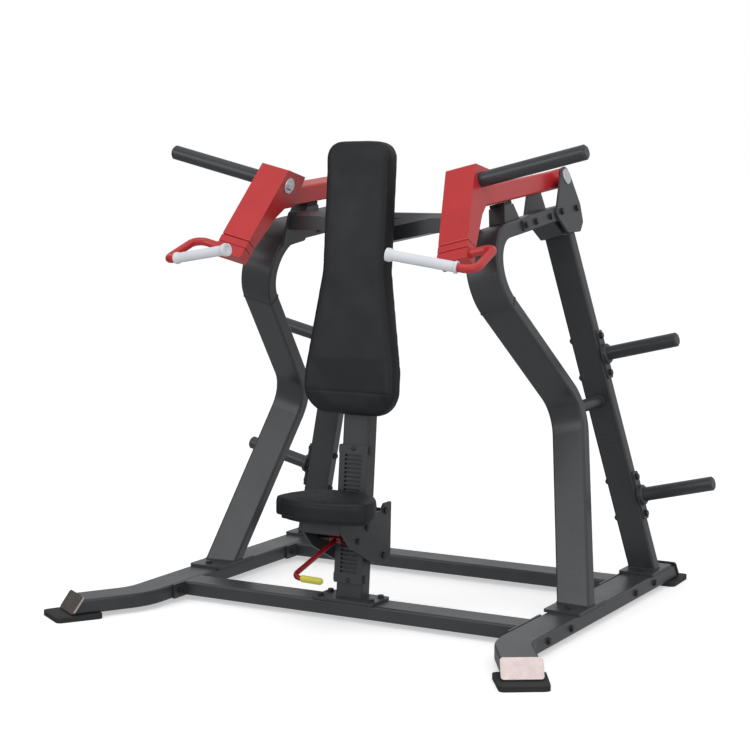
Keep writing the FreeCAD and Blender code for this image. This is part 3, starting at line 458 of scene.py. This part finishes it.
def closing_shift(vertices, sides):
    """How far the last ring has to turn to meet the first one."""
    last = vertices[-sides]
    gaps = [(vertices[k] - last).length for k in range(sides)]
    return gaps.index(min(gaps))


# ---- Upholstered pads ------------------------------------------------------------
def back_place(x, height, depth):
    """Place of a back pad point given across, up the post and out from the board."""
    y = BACK_FACE - depth
    return Vector((x, POST_FOOT_Y + y * math.cos(RECLINE) + height * math.sin(RECLINE),
                   -y * math.sin(RECLINE) + height * math.cos(RECLINE)))


def seat_place(x, y, depth):
    return Vector((x, y, SEAT_LOW + depth))


def back_depth_share(height):
    """The pad thins towards its lower edge, under a cross line."""
    if height > BACK_LOW + BACK_CHAMFER_HEIGHT:
        return 1.0
    return BACK_CHAMFER_LEFT + (1 - BACK_CHAMFER_LEFT) * (height - BACK_LOW) / BACK_CHAMFER_HEIGHT


def seat_depth_share(_):
    """The seat cushion is equally thick all over."""
    return 1.0


def back_outline():
    top, low = BACK_TOP, BACK_LOW
    corners = [(-BACK_HALF_TOP, top), (BACK_HALF_TOP, top), (BACK_HALF_TOP, BACK_FLARE_HIGH),
               (BACK_HALF_LOW, BACK_FLARE_LOW), (BACK_HALF_LOW, low), (-BACK_HALF_LOW, low),
               (-BACK_HALF_LOW, BACK_FLARE_LOW), (-BACK_HALF_TOP, BACK_FLARE_HIGH)]
    radii = [BACK_LOW_CORNER if height == low else BACK_CORNER for _, height in corners]
    return rounded_outline(corners, radii)


def arc_points(start, middle, end, steps):
    """Points of a curve through three points, leaving out the last."""
    a, b, c = Vector(start), Vector(middle), Vector(end)
    d = 2 * (a.x * (b.y - c.y) + b.x * (c.y - a.y) + c.x * (a.y - b.y))
    ux = (a.length_squared * (b.y - c.y) + b.length_squared * (c.y - a.y)
          + c.length_squared * (a.y - b.y)) / d
    uy = (a.length_squared * (c.x - b.x) + b.length_squared * (a.x - c.x)
          + c.length_squared * (b.x - a.x)) / d
    centre = Vector((ux, uy))
    first, mid, last = ((p - centre) for p in (a, b, c))
    turn_mid = first.angle_signed(mid)
    turn_last = turn_mid + mid.angle_signed(last)
    out = []
    for k in range(steps):
        angle = -turn_last * k / steps
        out.append(centre + Vector((first.x * math.cos(angle) - first.y * math.sin(angle),
                                    first.x * math.sin(angle) + first.y * math.cos(angle))))
    return out


def left(point):
    """The matching outline point on the left side."""
    return -point[0], point[1]


def seat_outline():
    """D shape: rounded back, gently bowed front."""
    half, back, front = SEAT_HALF, SEAT_BACK, SEAT_FRONT
    start, middle, end = [(half - inward, front + behind) for inward, behind in SEAT_CORNER]
    nose = (0, front - SEAT_BOW)
    hip = (half * SEAT_HIP[0], back - SEAT_HIP[1])
    rear = (half * SEAT_REAR_SHARE, back)
    points = arc_points(left(start), nose, start, 30)
    points += arc_points(start, middle, end, 8)
    points += arc_points(end, hip, rear, 26)
    points += [Vector((rear[0] * (1 - k / 6), back)) for k in range(12)]
    points += arc_points(left(rear), left(hip), left(end), 26)
    points += arc_points(left(end), left(middle), left(start), 8)
    return even_points(points, 0.008)


def pad_rings(outline, thickness, share, place, profile):
    """Rings of the pad from its back edge to its front face."""
    rings = []
    for inset, level in profile:
        ring = inset_outline(outline, inset)
        rings.append([place(p.x, p.y, thickness * level * share(p.y)) for p in ring])
    return rings


def pad_block(name, rings, material):
    count = len(rings[0])
    vertices = [v for ring in rings for v in ring]
    faces = []
    for r in range(len(rings) - 1):
        for i in range(count):
            j = (i + 1) % count
            faces.append((r * count + i, r * count + j, (r + 1) * count + j, (r + 1) * count + i))
    faces.append(tuple(reversed(range(count))))
    faces.append(tuple((len(rings) - 1) * count + i for i in range(count)))
    block = mesh_object(name, vertices, faces, material)
    work = bmesh.new()
    work.from_mesh(block.data)
    bmesh.ops.triangulate(work, faces=[f for f in work.faces if len(f.verts) > 4])
    bmesh.ops.recalc_face_normals(work, faces=work.faces)
    work.to_mesh(block.data)
    work.free()
    return block


def remesh(target, voxel):
    make_active(target)
    modifier = target.modifiers.new("even_mesh", "REMESH")
    modifier.mode = "VOXEL"
    modifier.voxel_size = voxel
    modifier.use_smooth_shade = True
    bpy.ops.object.modifier_apply(modifier=modifier.name)


def inflate(target, held):
    """Cloth simulation with inner pressure; held(point) says what is fixed to the board."""
    mesh = target.data
    rest = [v.co.copy() for v in mesh.vertices]
    pins = target.vertex_groups.new(name="board")
    pins.add([i for i, p in enumerate(rest) if held(p)], 1.0, "REPLACE")
    cloth = target.modifiers.new("cover", "CLOTH")
    settings = cloth.settings
    settings.quality = 5
    settings.mass = COVER_MASS
    settings.tension_stiffness = COVER_STIFFNESS
    settings.compression_stiffness = COVER_STIFFNESS
    settings.shear_stiffness = COVER_SHEAR
    settings.bending_stiffness = COVER_BENDING
    settings.use_pressure = True
    settings.uniform_pressure_force = PRESSURE
    settings.effector_weights.gravity = 0.0
    settings.vertex_group_mass = pins.name
    cloth.collision_settings.use_collision = False
    cloth.point_cache.frame_start = 1
    cloth.point_cache.frame_end = LAST_FRAME
    scene = bpy.context.scene
    for number in range(1, LAST_FRAME + 1):
        scene.frame_set(number)
    puffed = target.evaluated_get(bpy.context.evaluated_depsgraph_get()).data
    moved = [v.co.copy() for v in puffed.vertices]
    target.modifiers.remove(cloth)
    target.vertex_groups.clear()
    scene.frame_set(1)
    steps = numpy.array([after - before for before, after in zip(rest, moved)])
    lengths = numpy.linalg.norm(steps, axis=1, keepdims=True)
    steps *= numpy.minimum(1.0, PAD_CAP / numpy.maximum(lengths, 1e-9))
    for vertex, before, step in zip(mesh.vertices, rest, even_out(mesh, steps)):
        vertex.co = before + Vector(step)
    mesh.update()


def even_out(mesh, steps):
    """Average every vertex's movement with its neighbours', which takes small wrinkles out."""
    edges = numpy.array([edge.vertices[:] for edge in mesh.edges])
    first, second = edges[:, 0], edges[:, 1]
    count = 1.0 + numpy.bincount(edges.ravel(), minlength=len(steps))
    for _ in range(SMOOTHING_ROUNDS):
        total = steps.copy()
        numpy.add.at(total, first, steps[second])
        numpy.add.at(total, second, steps[first])
        steps = total / count[:, None]
    return steps


def subdivide(target):
    make_active(target)
    modifier = target.modifiers.new("smooth", "SUBSURF")
    modifier.levels = 1
    modifier.render_levels = 1
    bpy.ops.object.modifier_apply(modifier=modifier.name)
    for polygon in target.data.polygons:
        polygon.use_smooth = True


def surface_of(target):
    depsgraph = bpy.context.evaluated_depsgraph_get()
    return BVHTree.FromObject(target, depsgraph)


def settle_on(surface, points):
    """Nearest surface point and outward normal of each point."""
    out = []
    for p in points:
        place, normal, _, _ = surface.find_nearest(p)
        out.append((place, normal))
    return out


def sink_seam(target, line):
    """Press the cover in along the sewn line."""
    tree = KDTree(len(line))
    for i, p in enumerate(line):
        tree.insert(p, i)
    tree.balance()
    shifts = []
    for vertex in target.data.vertices:
        _, _, distance = tree.find(vertex.co)
        if distance < 3 * SEAM_REACH:
            shifts.append((vertex, -vertex.normal * SEAM_GROOVE * math.exp(-(distance / SEAM_REACH) ** 2)))
    for vertex, shift in shifts:
        vertex.co += shift
    target.data.update()


def add_seam(pad, name, line, closed):
    """Sewn seam: a sunk line in the cover with a thin welt lying in it."""
    settled = [place for place, _ in settle_on(surface_of(pad), line)]
    sink_seam(pad, settled)
    surface = surface_of(pad)
    welt_line = [place + normal * SEAM_RADIUS * 0.3 for place, normal in settle_on(surface, settled)]
    vertices, faces = tube_along(welt_line, [SEAM_RADIUS] * len(welt_line), 6, closed)
    return mesh_object(name, vertices, faces, materials["pad_cover"])


def even_points_3d(line, total, step):
    count = round(total / step)
    spacing = total / count
    out, along, i = [], 0.0, 0
    for k in range(count):
        target = k * spacing
        length = (line[(i + 1) % len(line)] - line[i]).length
        while along + length < target - 1e-12:
            along += length
            i += 1
            length = (line[(i + 1) % len(line)] - line[i]).length
        out.append(line[i].lerp(line[(i + 1) % len(line)], (target - along) / length))
    return out


def make_pad(name, outline, thickness, share, place, voxel, held):
    body_outline = inset_outline(outline, START_INSET)
    rings = pad_rings(body_outline, thickness, share, place, PAD_PROFILE)
    pad = pad_block(name, rings, materials["pad_cover"])
    remesh(pad, voxel)
    inflate(pad, held)
    subdivide(pad)
    side_line = pad_rings(outline, thickness, share, place, [(0.0, SEAM_LEVEL)])[0]
    return [pad, add_seam(pad, name + "_side_seam", side_line, True)]


def cross_seam_line():
    """Line across the back cushion where its lower end starts to thin."""
    height = BACK_LOW + BACK_CHAMFER_HEIGHT
    count = 40
    line = []
    for i in range(count + 1):
        x = CROSS_SEAM_HALF * (2 * i / count - 1)
        line.append(back_place(x, height, BACK_THICKNESS))
    return line


def on_the_board(point):
    """True for the part of the back pad that lies on its board."""
    out = Vector((0, -math.cos(RECLINE), math.sin(RECLINE)))
    return (point - back_place(0, 0, 0)).dot(out) < HELD_DEPTH


def on_the_seat_board(point):
    """True for the underside of the seat cushion."""
    return point.z < SEAT_LOW + HELD_DEPTH


def make_pads():
    back = make_pad("back_cushion", back_outline(), BACK_THICKNESS, back_depth_share, back_place,
                    BACK_VOXEL, on_the_board)
    seat = make_pad("seat_cushion", seat_outline(), SEAT_THICKNESS, seat_depth_share, seat_place,
                    SEAT_VOXEL, on_the_seat_board)
    back.append(add_seam(back[0], "back_cushion_cross_seam", cross_seam_line(), False))
    for pieces, body, replaced in ((back, "frame", "back_pad"), (seat, "carriage", "seat_pad")):
        for piece in pieces:
            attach(piece, body)
        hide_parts(replaced)


# ---- Weld beads --------------------------------------------------------------------
def cut_loops(name, point, normal):
    """Closed lines in which a plane cuts a CAD node."""
    work = bmesh.new()
    work.from_mesh(frame["nodes"][name].data)
    bmesh.ops.remove_doubles(work, verts=work.verts, dist=1e-6)
    result = bmesh.ops.bisect_plane(work, geom=work.verts[:] + work.edges[:] + work.faces[:],
                                    plane_co=point, plane_no=normal)
    edges = [e for e in result["geom_cut"] if isinstance(e, bmesh.types.BMEdge)]
    linked = {}
    for edge in edges:
        for vertex in edge.verts:
            linked.setdefault(vertex, []).append(edge)
    loops, used = [], set()
    for edge in edges:
        if edge in used:
            continue
        loop, here, current = [], edge.verts[0], edge
        while current is not None and current not in used:
            used.add(current)
            loop.append(here.co.copy())
            here = current.other_vert(here)
            current = next((e for e in linked[here] if e not in used), None)
        loops.append(loop)
    work.free()
    return loops


def loop_length(loop):
    return sum((loop[(i + 1) % len(loop)] - loop[i]).length for i in range(len(loop)))


def weld_round(name, node_name, point, normal, body, material):
    """Rippled bead where a plane cuts a node, on the outermost line round the point."""
    point, normal = Vector(point), Vector(normal).normalized()
    near = []
    for loop in cut_loops(node_name, point, normal):
        centre = sum(loop, Vector()) / len(loop)
        if (centre - point).length < BEAD_SEARCH and len(loop) > 3:
            near.append(loop)
    if not near:
        return
    loop = max(near, key=loop_length)
    total = loop_length(loop)
    points = even_points_3d(loop, total, BEAD_RIPPLE / 3)
    radii = [BEAD_RADIUS * (1 + 0.13 * math.cos(2 * math.pi * i / 3)) for i in range(len(points))]
    vertices, faces = tube_along(points, radii, BEAD_SIDES, True)
    bead = mesh_object(name, vertices, faces, material)
    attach(bead, body)


def lean_direction(across, y, up):
    """A direction in the leaning side frame, turned to where it stands."""
    return Vector((across * math.cos(SIDE_LEAN) - up * math.sin(SIDE_LEAN), y,
                   across * math.sin(SIDE_LEAN) + up * math.cos(SIDE_LEAN)))


def lean_point(across, y, up):
    """Place, in metres, of a side-frame point given in millimetres."""
    return lean_direction(across, y, up) / 1000 + Vector((0, FOOTPRINT_SHIFT, 0))


def mirrored(vector, side):
    return Vector((vector.x * side, vector.y, vector.z))


def make_welds():
    """Beads where tubes, collars, horns and handles are welded to their neighbours."""
    up = Vector((0, 0, 1))
    outward = lean_direction(1, 0, 0)
    down_leg = lean_direction(0, 0.707, -0.707)
    along_link = Vector((0, 1, 0.1))
    off_box = lean_direction(0, 0.936, -0.353)
    frame_spots = [
        ("front_leg_foot", "front_leg_", Vector((LEG_FOOT_X, FRONT_LEG_FOOT_Y, WELD_HEIGHT)), up),
        ("rear_leg_foot", "rear_leg_", Vector((LEG_FOOT_X, REAR_LEG_FOOT_Y, WELD_HEIGHT)), up),
        ("leg_joint", "front_leg_", lean_point(*LEG_JOINT), down_leg),
        ("link_rear", "rear_leg_", lean_point(*LINK_REAR), along_link),
        ("upper_collar", "upper_storage_horn_", lean_point(*UPPER_COLLAR), outward),
        ("lower_collar", "lower_storage_horn_", lean_point(*LOWER_COLLAR), outward)]
    arm_spots = [("arm_beam_front", "arm_beam_", lean_point(*ARM_BEAM_FRONT), off_box),
                 ("handle_root", "handle_", lean_point(*HANDLE_ROOT), outward)]
    for side, hand in ((1, "right"), (-1, "left")):
        groups = [(frame_spots, "frame", frame_weld, "frame_paint"),
                  (arm_spots, "arm_" + hand, arm_weld, "arm_paint")]
        for spots, body, material, slot_name in groups:
            for name, prefix, point, normal in spots:
                weld_round(name + "_weld_" + hand, prefix + hand, mirrored(point, side),
                           mirrored(normal, side), body, material)
    weld_round("post_foot_weld", "seat_post", (0, POST_FOOT_WELD_Y, WELD_HEIGHT), up,
               "frame", frame_weld)


# ---- Stage ---------------------------------------------------------------------------
def make_floor():
    size = FLOOR_HALF
    corners = [(-size, -size, 0), (size, -size, 0), (size, size, 0), (-size, size, 0)]
    floor = mesh_object("floor", corners, [(0, 1, 2, 3)], floor_material(), False)
    floor.visible_diffuse = False
    floor.visible_glossy = False


def floor_material():
    material, tree, shader = new_material("studio_floor")
    cloud = noise(tree, object_space(tree), 0.6, 2.0)
    tree.links.new(blend_colour(tree, cloud, linear(FLOOR_WHITE, 0.98), linear(FLOOR_WHITE, 1.0)),
                   shader.inputs["Base Color"])
    shader.inputs["Roughness"].default_value = 0.9
    shader.inputs["Specular IOR Level"].default_value = 0.1
    shader.inputs["Emission Color"].default_value = (1.0, 1.0, 1.0, 1.0)
    shader.inputs["Emission Strength"].default_value = FLOOR_GLOW
    return material


def area_light(name, location, target, size, power):
    light = bpy.data.lights.new(name, "AREA")
    light.shape = "RECTANGLE"
    light.size, light.size_y = size
    light.energy = power
    made = bpy.data.objects.new(name, light)
    made.location = location
    made.rotation_euler = (Vector(target) - Vector(location)).to_track_quat("-Z", "Y").to_euler()
    bpy.context.scene.collection.objects.link(made)


def sun(direction, strength, spread_angle):
    light = bpy.data.lights.new("sun", "SUN")
    light.energy = strength
    light.angle = math.radians(spread_angle)
    made = bpy.data.objects.new("sun", light)
    made.rotation_euler = Vector(direction).to_track_quat("-Z", "Y").to_euler()
    bpy.context.scene.collection.objects.link(made)


def make_world():
    """White studio with a dark screen on its left; plain white behind the object."""
    world = bpy.data.worlds.new("studio")
    world.use_nodes = True
    tree = world.node_tree
    seen = node(tree, "ShaderNodeLightPath").outputs["Is Camera Ray"]
    direction = node(tree, "ShaderNodeTexCoord").outputs["Generated"]
    apart = node(tree, "ShaderNodeSeparateXYZ", {"Vector": direction})
    dome = spread(tree, apart.outputs["Z"], *HORIZON, WORLD_BELOW, WORLD_ABOVE)
    screen = spread(tree, apart.outputs["X"], *SCREEN_EDGE, SCREEN_LEFT, 1.0)
    dome = multiply(tree, dome, screen)
    plain = node(tree, "ShaderNodeMix", {}, data_type="FLOAT")
    tree.links.new(seen, plain.inputs[0])
    tree.links.new(dome, plain.inputs[2])
    plain.inputs[3].default_value = 1.0
    background = tree.nodes["Background"]
    background.inputs["Color"].default_value = (1.0, 1.0, 1.0, 1.0)
    tree.links.new(plain.outputs[0], background.inputs["Strength"])
    bpy.context.scene.world = world


def make_lights():
    for softbox in SOFTBOXES:
        area_light(*softbox)
    sun(SUN_DIRECTION, SUN_POWER, SUN_SPREAD)
    make_world()


def make_camera():
    data = bpy.data.cameras.new("camera")
    data.sensor_width = SENSOR_WIDTH
    data.lens = CAMERA_LENS
    camera = bpy.data.objects.new("camera", data)
    camera.location = CAMERA_PLACE
    camera.rotation_euler = (math.radians(CAMERA_TILT), 0.0, math.radians(CAMERA_TURN))
    bpy.context.scene.collection.objects.link(camera)
    bpy.context.scene.camera = camera


dress_cad_nodes()
make_pads()
make_welds()
make_floor()
make_lights()
make_camera()
bpy.context.scene.view_settings.view_transform = "Standard"
